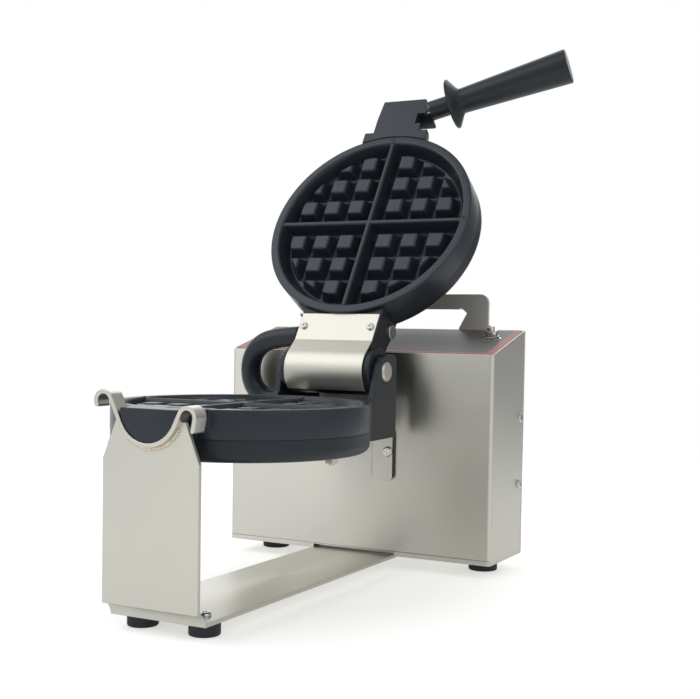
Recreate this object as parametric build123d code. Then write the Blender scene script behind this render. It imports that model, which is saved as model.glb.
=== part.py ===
from build123d import *
import math
import os

os.makedirs("parts", exist_ok=True)

# Millimetres. +X is the operator's right, -Y points at the operator, +Z is up and the floor is z = 0.
# The housing's front face is y = 0. Pans, hub and cradle share the turning axis x = 0, z = axis_z.

# Clearances
run_gap = 0.05          # radial gap of a running fit
hole_gap = 0.1          # radial gap round a screw's shank
seat_gap = 0.02         # between faces that are bolted together
body_gap = 0.6          # between pieces that move past each other

# Housing
case_w = 268.0
case_d = 79.5
case_z = 12.3           # underside, the height of the rear feet
case_front_h = 184.0
case_back_h = 205.8
sheet = 1.2
case_corner = 3.0
lip_h = 4.2             # height of the base tray's front lip
slot_h = 3.5            # height of the slot that the cradle's arm enters
overlay_t = 0.4
overlay_edge = 1.6

# Turning axis and pans
axis_z = 160.0
pan_y = -189.2
pan_r = 100.0
rim_gap = 0.5           # from each rim to the axis plane
grid_h = 21.2           # rim to seam
cover_h = 16.4          # seam to outer face
cavity_r = 92.0
cavity_floor_r = 87.0
cavity_depth = 15.0
block_pitch = 25.4
block_first = 19.9      # centre rib to the first row of blocks
block_top = 14.0
block_base = 21.0
block_drop = 3.0        # rim to the blocks' tops
block_clip_r = 80.5     # the round gap inside the wall that trims the outer blocks' tops
block_clip_floor = 84.5
rib_top = 3.4
rib_base = 9.5
rib_drop = 0.8
cover_wall = 5.0
bolt_ring_r = 80.0
heater_ring_r = 62.0
heater_tube_r = 4.0

# Hinge
pin_y = -41.0
pin_z = 180.2
pin_r = 5.0
ear_in = 44.5
ear_t = 6.0
ear_back = -19.5
ear_top = 194.7
barrel_r = 20.5
barrel_half = 43.8
arm_half = 39.5
arm_front = 15.9        # the arm's front face, measured from the pin towards the rim
arm_back = 10.0         # the arm's back face, measured from the pin away from the rim
open_deg = 121.5
sheet_t = 1.2
sheet_half = 38.5
sheet_r = 22.5

# Front journal and cradle
journal_r = 24.0
journal_end = -307.4
journal_gap = 0.2       # from each half to the axis plane
collar_r = 33.0
collar_front = -295.3
strip_t = 3.0
strip_front = -308.5
strip_back = -296.0
upright_front = -304.0
plate_t = 3.0
arm_w = 82.0
arm_under = 10.3
bend_r = 10.0
shoulder_z = 123.4
peak_z = 151.5
peak_half = 29.6
foot_x = 27.0
foot_y = -275.0
front_foot_r = 11.5
rear_foot_x = 110.0
rear_foot_y = 45.6
rear_foot_r = 13.0

# Hub
drum_r = 29.0
drum_front = -17.5
drum_back = -1.5
shaft_r = 12.5
shaft_bore_r = 8.0
shaft_end = 44.0
bearing_r = 24.0
hose_r = 8.5
hose_y = -10.0
gland_z = 156.0

# Handle, in the lid's own plane
handle_rise = 18.4      # degrees that the handle leans from the X axis
handle_start = (29.6, 280.7)
handle_depth = 16.0
ferrule_r = 9.4
ferrule_len = 19.5
guard_r = 24.0
grip_r1 = 16.2
grip_len = 136.0


# Small helpers

def box(x0, x1, y0, y1, z0, z1):
    return Pos((x0 + x1) / 2, (y0 + y1) / 2, (z0 + z1) / 2) * Box(x1 - x0, y1 - y0, z1 - z0)


def rod_x(r, x0, x1, y, z):
    return Pos((x0 + x1) / 2, y, z) * Rot(0, 90, 0) * Cylinder(r, x1 - x0)


def rod_y(r, y0, y1, x, z):
    return Pos(x, (y0 + y1) / 2, z) * Rot(90, 0, 0) * Cylinder(r, y1 - y0)


def rod_z(r, z0, z1, x, y):
    return Pos(x, y, (z0 + z1) / 2) * Cylinder(r, z1 - z0)


def prism_x(points, x0, x1):
    """A closed outline of (y, z) points, from x0 to x1."""
    wire = Polyline([Vector(x0, y, z) for y, z in points], close=True)
    return extrude(make_face(wire), amount=x1 - x0, dir=(1, 0, 0))


def prism_y(points, y0, y1):
    """A closed outline of (x, z) points, from y0 to y1."""
    wire = Polyline([Vector(x, y0, z) for x, z in points], close=True)
    return extrude(make_face(wire), amount=y1 - y0, dir=(0, 1, 0))


def along(shape, axis):
    """The straight edges of a shape that run along an axis."""
    return shape.edges().filter_by(axis)


def join(*solids):
    """One compound of separate pieces that share a node."""
    return Compound(children=[s.solid() if len(s.solids()) == 1 else s for s in solids])


def save(shape, name):
    shape.label = name
    export_step(shape, f"parts/{name}.step")


def lid_open(shape):
    """Swings a shape from the closed lid's place to the open one, about the hinge pin."""
    return Pos(0, pin_y, pin_z) * Rot(-open_deg, 0, 0) * Pos(0, -pin_y, -pin_z) * shape


def pan_head(r, h):
    """A domed screw head that rises along +Z from its seat, with a cross recess."""
    dome = Cylinder(r, h, align=(Align.CENTER, Align.CENTER, Align.MIN))
    dome = fillet(dome.edges().group_by(Axis.Z)[-1], h * 0.7)
    cross = Pos(0, 0, h) * (Box(r * 1.1, r * 0.26, h) + Box(r * 0.26, r * 1.1, h))
    return dome - cross


def screw(r, length, head_r, head_h):
    """A pan head screw: the head sits above z = 0 and the shank goes down."""
    shank = Cylinder(r, length, align=(Align.CENTER, Align.CENTER, Align.MAX))
    return pan_head(head_r, head_h) + shank


# Housing

def case_outline(inset):
    """The housing's side view, from which shell, tray and cover are made."""
    slope = (case_back_h - case_front_h) / case_d
    y0 = inset
    y1 = case_d - inset
    rise = inset * math.hypot(1, slope)
    z0 = case_z + inset
    front_top = case_z + case_front_h + slope * y0 - rise
    back_top = case_z + case_front_h + slope * y1 - rise
    return [(y0, z0), (y1, z0), (y1, back_top), (y0, front_top)]


top_angle = math.degrees(math.atan((case_back_h - case_front_h) / case_d))


def on_top(x, along_y, shape):
    """Places a shape, built upright at the origin, on the sloping top panel."""
    z = case_z + case_front_h + along_y * math.tan(math.radians(top_angle))
    return Pos(x, along_y, z) * Rot(top_angle, 0, 0) * shape


switch_x = 112.0
switch_y = 51.0
switch_hole_r = 6.0


def front_shell():
    body = prism_x(case_outline(0), -case_w / 2, case_w / 2)
    body = fillet(along(body, Axis.Z), case_corner)
    inner = prism_x(case_outline(sheet), -case_w / 2 + sheet, case_w / 2 - sheet)
    shell = body - inner
    shell -= box(-case_w, case_w, case_d - sheet, case_d + 9, 0, 400)
    shell -= box(-case_w, case_w, -9, case_d + 9, 0, case_z + sheet + seat_gap)
    shell -= box(-case_w, case_w, -9, sheet + 0.3, 0, case_z + lip_h + 0.3)
    shell -= rod_y(bearing_r - 5 + hole_gap, -9, 9, 0, axis_z)
    for x, z in bearing_screw_places():
        shell -= rod_y(2.0 + hole_gap, -9, 9, x, z)
    shell -= on_top(switch_x, switch_y, Cylinder(switch_hole_r + hole_gap, 12))
    shell -= rod_y(2.0 + hole_gap, -9, 9, stop_screw[0], stop_screw[1])
    for x, y, z in side_screw_places():
        shell -= rod_x(2.0 + hole_gap, min(x, 0.9 * x), max(x, 0.9 * x), y, z)
    return shell


def base_tray():
    plate = box(-case_w / 2, case_w / 2, 0, case_d - sheet, case_z, case_z + sheet)
    lip = box(-case_w / 2, case_w / 2, 0, sheet, case_z, case_z + lip_h)
    tray = plate + lip
    corners = along(tray, Axis.Z).filter_by_position(Axis.Y, -0.01, 0.01)
    tray = fillet(corners, case_corner)
    tray -= box(-case_w, case_w, case_d - sheet - 0.01, case_d, 0, 400)
    tray -= box(-arm_w / 2 - 0.5, arm_w / 2 + 0.5, -9, 62, 0, case_z + slot_h)
    for x, y in rear_foot_places():
        tray -= rod_z(2.5 + hole_gap, 0, 40, x, y)
    for x in (-clamp_bolt_x, clamp_bolt_x):
        for y in clamp_bolt_ys:
            tray -= rod_z(2.5 + hole_gap, 0, 40, x, y)
    return tray


def back_cover():
    back_top = case_outline(0)[2][1] - 0.3
    plate = box(-case_w / 2, case_w / 2, case_d - sheet, case_d, case_z, back_top)
    inside = case_w / 2 - sheet - seat_gap
    for side in (-1, 1):
        inner = side * inside
        outer = side * (inside - sheet)
        low = case_z + sheet + 1
        plate += box(min(inner, outer), max(inner, outer), case_d - 18, case_d - 0.5, low, back_top - 12)
    for row in range(2):
        for i in range(9):
            x = -64 + 16 * i
            z = 150 + 24 * row
            plate -= box(x - 2, x + 2, case_d - 9, case_d + 9, z - 8, z + 8)
    for x, y, z in side_screw_places():
        plate -= rod_x(2.0 + hole_gap, min(x, 0.9 * x), max(x, 0.9 * x), y, z)
    x0, x1 = inlet_x - inlet_w / 2, inlet_x + inlet_w / 2
    plate -= box(x0, x1, 60, 99, inlet_z - inlet_h / 2, inlet_z + inlet_h / 2)
    for x, z in inlet_screw_places() + handle_screw_places():
        plate -= rod_y(2.0 + hole_gap, case_d - 9, case_d + 9, x, z)
    return plate


def side_screw_places():
    """Two screws on each side, near the back edge."""
    return [(side * case_w / 2, 68.8, z) for side in (-1, 1) for z in (77.2, 138.0)]


def side_screws():
    out = []
    for x, y, z in side_screw_places():
        turn = Rot(0, 90 if x > 0 else -90, 0)
        out.append(Pos(x, y, z) * turn * screw(2.0, 6.0, 4.0, 2.2))
    return join(*out)


def control_overlay():
    """The film on the sloping top panel."""
    length = case_d / math.cos(math.radians(top_angle))
    film = Box(case_w - 2 * overlay_edge, length - 2 * overlay_edge, overlay_t)
    film = fillet(along(film, Axis.Z), 2.0)
    mid = math.cos(math.radians(top_angle)) * length / 2
    film = on_top(0, mid, Pos(0, 0, overlay_t / 2 + seat_gap) * film)
    return film - on_top(switch_x, switch_y, Cylinder(9.0, 12))


# Carrying handle on the housing's back

grip_top = 251.3
grip_half = 97.0
grip_bar = 14.3
grip_leg = 26.0
grip_t = 3.0
grip_y = case_d + 0.3


def handle_screw_places():
    return [(side * (grip_half - 13), z) for side in (-1, 1) for z in (165.0, 190.0)]


def carry_handle():
    inner_top = grip_half - 21.5
    inner_low = grip_half - grip_leg - 3.5
    low = 156.0
    outline = [(-grip_half, low), (grip_half, low), (grip_half, grip_top), (-grip_half, grip_top)]
    plate = prism_y(outline, grip_y, grip_y + grip_t)
    plate = fillet(along(plate, Axis.Y), 8.5)
    bar_z = grip_top - grip_bar
    opening = [
        (-inner_low, low - 20), (inner_low, low - 20), (inner_low, 219.0), (inner_top, bar_z - 3.5),
        (inner_top - 6, bar_z + 1.5), (inner_top - 9, bar_z), (9 - inner_top, bar_z),
        (6 - inner_top, bar_z + 1.5), (-inner_top, bar_z - 3.5), (-inner_low, 219.0),
    ]
    plate -= prism_y(opening, grip_y - 5, grip_y + 20)
    lip = box(9.5 - inner_top, inner_top - 9.5, grip_y, grip_y + 12, bar_z, bar_z + grip_t)
    plate += fillet(along(lip, Axis.X).sort_by(Axis.Y)[-2:], 1.2)
    for x, z in handle_screw_places():
        plate -= rod_y(2.0 + hole_gap, grip_y - 9, grip_y + 9, x, z)
    return plate


def handle_screws():
    fastener = Rot(-90, 0, 0) * screw(2.0, 8.0, 4.0, 2.2)
    return join(*[Pos(x, grip_y + grip_t, z) * fastener for x, z in handle_screw_places()])


# Mains inlet in the back cover

inlet_x = 84.0
inlet_z = 48.0
inlet_w = 28.0
inlet_h = 20.5
inlet_pitch = 40.0


def inlet_screw_places():
    return [(inlet_x - inlet_pitch / 2, inlet_z), (inlet_x + inlet_pitch / 2, inlet_z)]


def mains_inlet():
    flange = box(inlet_x - 25, inlet_x + 25, case_d + seat_gap, case_d + 3, inlet_z - 14, inlet_z + 14)
    flange = fillet(along(flange, Axis.Y), 5)
    half_w = inlet_w / 2 - hole_gap
    half_h = inlet_h / 2 - hole_gap
    bucket = Pos(inlet_x, case_d - 12.5, inlet_z) * Box(2 * half_w, 27, 2 * half_h)
    body = flange + bucket
    mouth = box(inlet_x - 12, inlet_x + 12, case_d - 17, case_d + 5, inlet_z - 8, inlet_z + 8)
    mouth = chamfer(along(mouth, Axis.Y).group_by(Axis.Z)[0], 5)
    body -= mouth
    for x, z in ((-7, -2), (0, 2), (7, -2)):
        body += Pos(inlet_x + x, case_d - 10, inlet_z + z) * Box(2, 16, 4)
    for x, z in inlet_screw_places():
        body -= rod_y(2.0 + hole_gap, case_d - 9, case_d + 9, x, z)
    return body


def inlet_screws():
    fastener = Rot(-90, 0, 0) * screw(2.0, 6.0, 3.4, 1.8)
    return join(*[Pos(x, case_d + 3, z) * fastener for x, z in inlet_screw_places()])


# Push switch on the top panel

bush_top = 7.5
plunger_r = 3.6
plunger_top = 11.5
plunger_travel = 2.5


def switch_body():
    nut = extrude(RegularPolygon(7.6, 6), amount=2.2)
    bush = Cylinder(switch_hole_r, bush_top + 16, align=(Align.CENTER, Align.CENTER, Align.MIN))
    body = Pos(0, 0, -16) * bush + Pos(0, 0, seat_gap) * nut
    can = Cylinder(8.5, 18, align=(Align.CENTER, Align.CENTER, Align.MAX))
    body += Pos(0, 0, -sheet - seat_gap - 0.3) * can
    bore = Cylinder(plunger_r + run_gap, 40, align=(Align.CENTER, Align.CENTER, Align.MIN))
    body -= Pos(0, 0, -10) * bore
    return on_top(switch_x, switch_y, body)


def switch_plunger():
    stem = Cylinder(plunger_r, plunger_top + 6.5, align=(Align.CENTER, Align.CENTER, Align.MIN))
    stem = Pos(0, 0, -6.5) * stem
    stem = fillet(stem.edges().group_by(Axis.Z)[-1], 1.0)
    return on_top(switch_x, switch_y, stem)


# Feet

def rear_foot_places():
    return [(side * rear_foot_x, rear_foot_y) for side in (-1, 1)]


def front_foot_places():
    return [(side * foot_x, foot_y) for side in (-1, 1)]


def rubber_foot(r, height, x, y):
    foot = Cylinder(r, height, align=(Align.CENTER, Align.CENTER, Align.MIN))
    foot = fillet(foot.edges().group_by(Axis.Z)[0], 1.5)
    foot -= Cylinder(5.0, 4.0, align=(Align.CENTER, Align.CENTER, Align.MIN))
    foot -= Cylinder(2.5 + hole_gap, height + 1, align=(Align.CENTER, Align.CENTER, Align.MIN))
    return Pos(x, y, 0) * foot


def rear_feet():
    return join(*[rubber_foot(rear_foot_r, case_z, x, y) for x, y in rear_foot_places()])


def front_feet():
    return join(*[rubber_foot(front_foot_r, arm_under, x, y) for x, y in front_foot_places()])


def rear_foot_screws():
    top = case_z + sheet
    return join(*[Pos(x, y, top) * screw(2.5, 9.5, 4.6, 2.6) for x, y in rear_foot_places()])


def front_foot_screws():
    top = arm_under + plate_t
    return join(*[Pos(x, y, top) * screw(2.5, 9.3, 4.6, 2.8) for x, y in front_foot_places()])


# Cradle: one plate folded up at the front, with the saddle strip welded into its notch

lean_deg = 64.0         # where the strip leaves its round part, from straight down
clamp_bolt_x = 52.0
clamp_bolt_ys = (14.0, 50.0)
arm_bolt_ys = (18.0, 46.0)


def side_plate_outline():
    """The folded plate's side view, from the upright's top round the bend to the arm's end."""
    front = upright_front
    back = upright_front + plate_t
    low = arm_under
    high = arm_under + plate_t
    end = 58.0
    with BuildPart() as bend:
        with BuildSketch(Plane.YZ):
            with BuildLine():
                Line((front, peak_z), (front, low + bend_r))
                RadiusArc((front, low + bend_r), (front + bend_r, low), bend_r)
                Line((front + bend_r, low), (end, low))
                Line((end, low), (end, high))
                Line((end, high), (front + bend_r, high))
                RadiusArc((front + bend_r, high), (back, low + bend_r), -(bend_r - plate_t))
                Line((back, low + bend_r), (back, peak_z))
                Line((back, peak_z), (front, peak_z))
            make_face()
        extrude(amount=arm_w / 2, both=True)
    return bend.part


def saddle_point(r, side):
    """Where the strip's face of radius r turns from round to straight."""
    a = math.radians(lean_deg)
    return (side * r * math.sin(a), axis_z - r * math.cos(a))


def notch_outline(r, y0, y1):
    """The space above the saddle's face of radius r, up past the cradle's peaks."""
    a = math.radians(lean_deg)
    px, pz = saddle_point(r, 1)
    top = peak_z + 30
    reach = (top - pz) / math.sin(a)
    qx = px + reach * math.cos(a)
    wedge = prism_y([(-px, pz), (px, pz), (qx, top), (-qx, top)], y0, y1)
    return rod_y(r, y0, y1, 0, axis_z) + wedge


def cradle_arm():
    plate = side_plate_outline()
    half = arm_w / 2
    outline = [(-half, 0), (half, 0), (half, shoulder_z), (peak_half, peak_z), (-peak_half, peak_z)]
    outline.append((-half, shoulder_z))
    plate = plate & prism_y(outline, upright_front - 9, 90)
    plate -= notch_outline(journal_r + run_gap + strip_t + seat_gap, upright_front - 5, upright_front + 9)
    for x, y in front_foot_places():
        plate -= rod_z(2.5 + hole_gap, 0, 40, x, y)
    for x in (-24, 24):
        for y in arm_bolt_ys:
            plate -= rod_z(2.5 + hole_gap, 0, 40, x, y)
    return plate


def hook_path(side, straight, sweep, tail):
    """The strip's centre line past its round part: a straight, a curl of radius 6.5 and a tail."""
    r = journal_r + run_gap + strip_t / 2
    curl = 6.5
    x, z = saddle_point(r, 1)
    a = math.radians(lean_deg)
    heading = a
    pieces = []
    x1 = x + straight * math.cos(heading)
    z1 = z + straight * math.sin(heading)
    pieces.append(((x, z), (x1, z1)))
    cx = x1 + curl * math.sin(heading)
    cz = z1 - curl * math.cos(heading)
    start = heading + math.pi / 2
    end = start - math.radians(sweep)
    mid = (start + end) / 2
    arc = [(cx + curl * math.cos(t), cz + curl * math.sin(t)) for t in (start, mid, end)]
    tip_dir = end - math.pi / 2
    tip = (arc[2][0] + tail * math.cos(tip_dir), arc[2][1] + tail * math.sin(tip_dir))
    flip = lambda p: (side * p[0], p[1])
    return [flip(p) for p in pieces[0]], [flip(p) for p in arc], [flip(arc[2]), flip(tip)]


left_hook = (20.0, 172.0, 1.0)
right_hook = (10.3, 165.0, 8.0)


def saddle_strip():
    r = journal_r + run_gap + strip_t / 2
    left, left_arc, left_tail = hook_path(-1, *left_hook)
    right, right_arc, right_tail = hook_path(1, *right_hook)
    at = lambda p: Vector(p[0], strip_front, p[1])
    with BuildLine() as line:
        Line(at(left_tail[1]), at(left_tail[0]))
        ThreePointArc(at(left_arc[2]), at(left_arc[1]), at(left_arc[0]))
        Line(at(left[1]), at(left[0]))
        ThreePointArc(at(left[0]), Vector(0, strip_front, axis_z - r), at(right[0]))
        Line(at(right[0]), at(right[1]))
        ThreePointArc(at(right_arc[0]), at(right_arc[1]), at(right_arc[2]))
        Line(at(right_tail[0]), at(right_tail[1]))
    wire = line.wires()[0]
    band = Wire(wire.edges()).offset_2d(strip_t / 2)
    face = make_face(band)
    strip = extrude(face, amount=strip_back - strip_front, dir=(0, 1, 0))
    return strip


def saddle_weld():
    """The bead in the corner between the strip's outer face and the upright's front."""
    r = journal_r + run_gap + strip_t
    a = math.radians(58)
    p = lambda t: Vector(r * math.sin(t), upright_front, axis_z - r * math.cos(t))
    path = ThreePointArc(p(-a), p(0), p(a))
    start = Plane(origin=path @ 0, z_dir=path % 0)
    bead = sweep(start * Circle(1.7), path=path)
    bead -= notch_outline(r + seat_gap / 2, upright_front - 5, upright_front + 5)
    bead -= box(-50, 50, upright_front - seat_gap / 2, upright_front + 5, 100, 200)
    return bead


def arm_clamp():
    """The doubler inside the housing that ties the arm to the base tray."""
    low = case_z + sheet + seat_gap
    plate = box(-60, 60, 6, 58, low, low + 3)
    for x in (-clamp_bolt_x, clamp_bolt_x):
        for y in clamp_bolt_ys:
            plate -= rod_z(2.5 + hole_gap, 0, 40, x, y)
    for x in (-24, 24):
        for y in arm_bolt_ys:
            plate -= rod_z(2.5 + hole_gap, 0, 40, x, y)
    corners = along(plate, Axis.Z).filter_by(lambda e: e.length > 2.9 and e.geom_type == GeomType.LINE)
    return fillet(corners, 3)


def arm_bolts():
    """Eight screws: four through the arm and four through the tray, all into the clamp plate."""
    out = []
    for x in (-24, 24):
        for y in arm_bolt_ys:
            out.append(Pos(x, y, arm_under) * Rot(180, 0, 0) * screw(2.5, 6.2, 4.4, 2.4))
    for x in (-clamp_bolt_x, clamp_bolt_x):
        for y in clamp_bolt_ys:
            out.append(Pos(x, y, case_z) * Rot(180, 0, 0) * screw(2.5, 4.2, 4.4, 2.4))
    return join(*out)


# Stop strip on the housing's front

stop_left = 19.5
stop_right = 40.5
stop_low = 80.5
stop_high = 128.0
stop_t = 3.4
stop_screw = (35.6, 107.0)


def stop_plate():
    plate = box(stop_left, stop_right, -stop_t, -seat_gap, stop_low, stop_high)
    plate = fillet(along(plate, Axis.Y), 5.0)
    return plate - rod_y(2.0 + hole_gap, -9, 9, *stop_screw)


def stop_screws():
    x, z = stop_screw
    return Pos(x, -stop_t, z) * Rot(90, 0, 0) * screw(2.0, 7.0, 4.6, 2.0)


# Hub

def bearing_screw_places():
    """Four screws round the flange, inside the drum's outline."""
    out = []
    for angle in (45, 135, 225, 315):
        t = math.radians(angle)
        out.append((25.5 * math.cos(t), axis_z + 25.5 * math.sin(t)))
    return out


def hub_bearing():
    flange = rod_y(bearing_r + 10, sheet + seat_gap, sheet + 6, 0, axis_z)
    collar = rod_y(bearing_r - 5, -0.9, sheet + 1, 0, axis_z)
    sleeve = rod_y(bearing_r - 5, sheet + 1, 32, 0, axis_z)
    body = flange + collar + sleeve
    body -= rod_y(shaft_r + run_gap, -9, 60, 0, axis_z)
    for x, z in bearing_screw_places():
        body -= rod_y(2.0 + hole_gap, -9, 20, x, z)
    return body


def bearing_screws():
    """Put in from inside, so their ends stop short of the drum."""
    fastener = Rot(-90, 0, 0) * screw(2.0, 6.8, 3.4, 2.0)
    return join(*[Pos(x, sheet + 6, z) * fastener for x, z in bearing_screw_places()])


def hub_shaft():
    shaft = rod_y(shaft_r, drum_back, shaft_end, 0, axis_z)
    return shaft - rod_y(shaft_bore_r, drum_back - 5, shaft_end + 5, 0, axis_z)


def hub_collar():
    """The retaining collar on the shaft's inner end, with its grub screw hole."""
    y0 = 32.0 + 0.4
    ring = rod_y(19, y0, y0 + 9, 0, axis_z)
    ring -= rod_y(shaft_r + seat_gap, y0 - 5, y0 + 20, 0, axis_z)
    return ring - rod_z(2, axis_z + shaft_r, axis_z + 25, 0, y0 + 4.5)


def drum_bolt_places():
    return [(-14.0, 142.0), (14.0, 142.0)]


def hub_drum():
    drum = rod_y(drum_r, drum_front, drum_back, 0, axis_z)
    drum = fillet(drum.edges().group_by(Axis.Y)[0], 1.2)
    drum -= rod_y(shaft_bore_r, drum_front + 5, drum_back + 5, 0, axis_z)
    drum -= rod_x(6.0, -40, 0, hose_y, gland_z)
    for x, z in drum_bolt_places():
        drum -= rod_y(2.5 + hole_gap, -40, 9, x, z)
        drum -= rod_y(4.9, drum_back - 6, drum_back + 5, x, z)
    return drum


def drum_bolts():
    seat = drum_back - 6
    out = []
    for x, z in drum_bolt_places():
        head = rod_y(4.4, seat, seat + 4.6, x, z)
        hexagon = Pos(x, seat + 4.6, z) * Rot(90, 0, 0) * extrude(RegularPolygon(2.3, 6), amount=2.5)
        out.append(head - hexagon + rod_y(2.5, drum_front - 12, seat, x, z))
    return join(*out)


# Pans, both built in the closed place: outer faces down for the lower, up for the upper

def pan_frame(upper):
    """Height above the axis plane as a function of the distance from it."""
    side = 1 if upper else -1
    return lambda d: axis_z + side * d


def round_slab(r, z0, z1):
    return rod_z(r, min(z0, z1), max(z0, z1), 0, pan_y)


def waffle_block(x, y, floor, top):
    base = Pos(x, y, floor) * Rectangle(block_base, block_base)
    tip = Pos(x, y, top) * Rectangle(block_top, block_top)
    body = loft([base, tip])
    edges = body.edges().group_by(Axis.Z)[-1 if top > floor else 0]
    return chamfer(edges, 0.7)


def cross_rib(half, floor, top, turn):
    base = Pos(0, pan_y, floor) * Rot(0, 0, turn) * Rectangle(2 * half, rib_base)
    tip = Pos(0, pan_y, top) * Rot(0, 0, turn) * Rectangle(2 * half, rib_top)
    return loft([base, tip])


def waffle_grid(upper):
    """The grid casting: round pan, tapered blocks, cross ribs, bolt posts and its half of the journal."""
    at = pan_frame(upper)
    rim = at(rim_gap)
    floor = at(rim_gap + cavity_depth)
    seam = at(rim_gap + grid_h)
    step = block_drop
    body = round_slab(pan_r, rim, seam)
    outer_edge = body.edges().group_by(Axis.Z)[0 if upper else -1]
    body = fillet(outer_edge, 1.2)
    far = at(rim_gap - 1)
    grow = 1 / cavity_depth * (cavity_r - cavity_floor_r)
    mouth = Pos(0, pan_y, far) * Circle(cavity_r + grow)
    bottom = Pos(0, pan_y, floor) * Circle(cavity_floor_r)
    hollow = loft([mouth, bottom])
    body -= hollow
    lip = body.edges().filter_by(GeomType.CIRCLE).filter_by(lambda e: abs(e.radius - cavity_r) < 0.01)
    body = fillet(lip, 1.0)
    tops = at(rim_gap + step)
    blocks = []
    for i in range(3):
        for j in range(3 - i + (1 if i else 0)):
            if i + j > 3:
                continue
            for sx in (-1, 1):
                for sy in (-1, 1):
                    x = sx * (block_first + i * block_pitch)
                    y = pan_y + sy * (block_first + j * block_pitch)
                    blocks.append((x, y))
    well = loft([Pos(0, pan_y, tops) * Circle(block_clip_r), Pos(0, pan_y, floor) * Circle(block_clip_floor)])
    for x, y in blocks:
        block = waffle_block(x, y, floor, tops)
        corner = math.hypot(abs(x) + block_top / 2, abs(y - pan_y) + block_top / 2)
        body += block if corner < block_clip_r - 2 else block & well
    for turn in (0, 90):
        body += cross_rib(cavity_floor_r + 1.5, floor, at(rim_gap + rib_drop), turn)
    for x, y in bolt_places():
        post = rod_z(7, min(seam, at(bolt_post_end)), max(seam, at(bolt_post_end)), x, y)
        body += post
        ends = sorted((at(bolt_post_end + 1), at(bolt_hole_end)))
        body -= rod_z(3.0 + hole_gap, ends[0], ends[1], x, y)
    return body


bolt_post_end = rim_gap + grid_h + cover_h - 4.0 - seat_gap
bolt_hole_end = rim_gap + cavity_depth + 3.5


def bolt_places():
    return [
        (bolt_ring_r * math.cos(math.radians(a)), pan_y + bolt_ring_r * math.sin(math.radians(a)))
        for a in (0, 90, 180, 270)
    ]


def journal_half(upper, y0, y1, r=journal_r):
    """Half of the front journal, on its own side of the axis plane."""
    z0, z1 = (axis_z + journal_gap, axis_z + 60) if upper else (axis_z - 60, axis_z - journal_gap)
    return rod_y(r, y0, y1, 0, axis_z) & box(-80, 80, y0 - 1, y1 + 1, z0, z1)


def collar_half(upper):
    """The wide shoulder between the pan's wall and the journal."""
    half = journal_half(upper, collar_front, pan_y - 60, collar_r)
    seam = pan_frame(upper)(rim_gap + grid_h)
    half -= round_slab(pan_r - 2, axis_z - 50, axis_z + 50)
    ends = sorted((seam, pan_frame(upper)(80)))
    return half - round_slab(pan_r, *ends)


def lower_grid():
    body = waffle_grid(False)
    body += collar_half(False)
    journal = journal_half(False, journal_end, collar_front + 1)
    front = journal.edges().group_by(Axis.Y)[0]
    return body + chamfer(front, 0.8)


def pan_cover(upper):
    """The heater cover behind a grid: a shallow dish with a rounded outer edge."""
    at = pan_frame(upper)
    seam = at(rim_gap + grid_h + seat_gap)
    back = at(rim_gap + grid_h + cover_h)
    body = round_slab(pan_r - 0.4, seam, back)
    body = fillet(body.edges().group_by(Axis.Z)[-1 if upper else 0], 7.0)
    inner = at(rim_gap + grid_h + cover_h - 4.0)
    body -= round_slab(pan_r - 0.4 - cover_wall, at(rim_gap + grid_h - 3), inner)
    for x, y in bolt_places():
        body -= rod_z(3.0 + hole_gap, axis_z - 60, axis_z + 60, x, y)
    return body


def ear(side):
    """One hinge ear: a plate that runs back from the pan's wall and rises to the pin."""
    seam = axis_z - rim_gap - grid_h
    low = axis_z - rim_gap - grid_h - cover_h
    ledge = axis_z - rim_gap - 2.5
    outline = [
        (pan_y + 60, low + 2), (-62, low), (ear_back - 3, low + 0.5), (ear_back, low + 4),
        (ear_back, ear_top - 4), (ear_back - 3, ear_top), (-39, ear_top), (-47, ear_top - 2.5),
        (-52.5, ear_top - 8), (-56, ear_top - 16), (-60.5, ledge + 4), (-64, ledge), (pan_y + 60, ledge),
    ]
    x0, x1 = sorted((side * ear_in, side * (ear_in + ear_t)))
    plate = prism_x(outline, x0, x1)
    plate -= round_slab(pan_r + 0.1, seam - seat_gap, axis_z + 40)
    plate -= round_slab(pan_r - 3, low - 5, seam)
    plate -= rod_x(pin_r + seat_gap, -80, 80, pin_y, pin_z)
    return plate


def rear_boss():
    """The cast bridge from the lower cover to the hub drum."""
    seam = axis_z - rim_gap - grid_h
    low = axis_z - rim_gap - grid_h - cover_h
    body = box(-26, 26, pan_y + 70, drum_front - seat_gap, low + 3, 152)
    body = fillet(along(body, Axis.Y), 4)
    body -= round_slab(pan_r + 0.1, seam - seat_gap, axis_z + 40)
    body -= round_slab(pan_r - 3, low - 5, seam)
    for x, z in drum_bolt_places():
        body -= rod_y(2.5 + hole_gap, drum_front - 14, 9, x, z)
    return body


def lower_cover():
    return pan_cover(False) + ear(-1) + ear(1) + rear_boss()


def heater(upper):
    """A tubular element lying on the grid's back, its two ends turned towards the hinge."""
    at = pan_frame(upper)
    z = at(rim_gap + grid_h + heater_tube_r + seat_gap)
    ring = Pos(0, pan_y, z) * Torus(heater_ring_r, heater_tube_r)
    gap = Pos(0, pan_y + heater_ring_r, z) * Box(24, 30, 20)
    ring -= gap
    for x in (-12, 12):
        y0 = pan_y + math.sqrt(heater_ring_r**2 - 12**2) - 1.5
        ring += rod_y(heater_tube_r - 0.6, y0, pan_y + 88, x, z)
    return ring


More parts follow.
